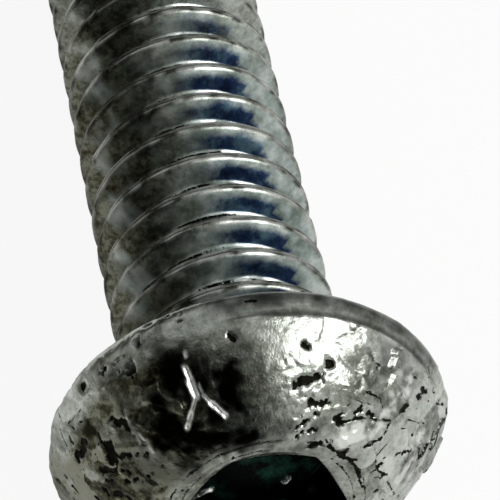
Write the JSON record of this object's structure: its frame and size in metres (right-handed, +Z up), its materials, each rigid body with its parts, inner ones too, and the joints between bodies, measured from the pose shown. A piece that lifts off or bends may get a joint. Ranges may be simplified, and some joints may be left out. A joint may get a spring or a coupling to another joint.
{
  "type": "button head socket screw",
  "caption": "Machine screw with a low domed button head, a hexagon socket and a right-hand thread up to the head, in worn zinc-plated steel, lying on its side.",
  "frame": {"origin": "on the table, under the middle of the screw's box as it lies at rest", "axes": "+Z up, +Y from the head towards the tip, which lies 5.4 degrees lower than the head; +X across the screw"},
  "size_m": [0.011, 0.0288, 0.011],
  "materials": {
    "zinc_plated_steel": "worn blue-passivated zinc plating, pitted on the head"
  },
  "bodies": {
    "root": {"screw": "zinc_plated_steel"}
  },
  "joints": []
}
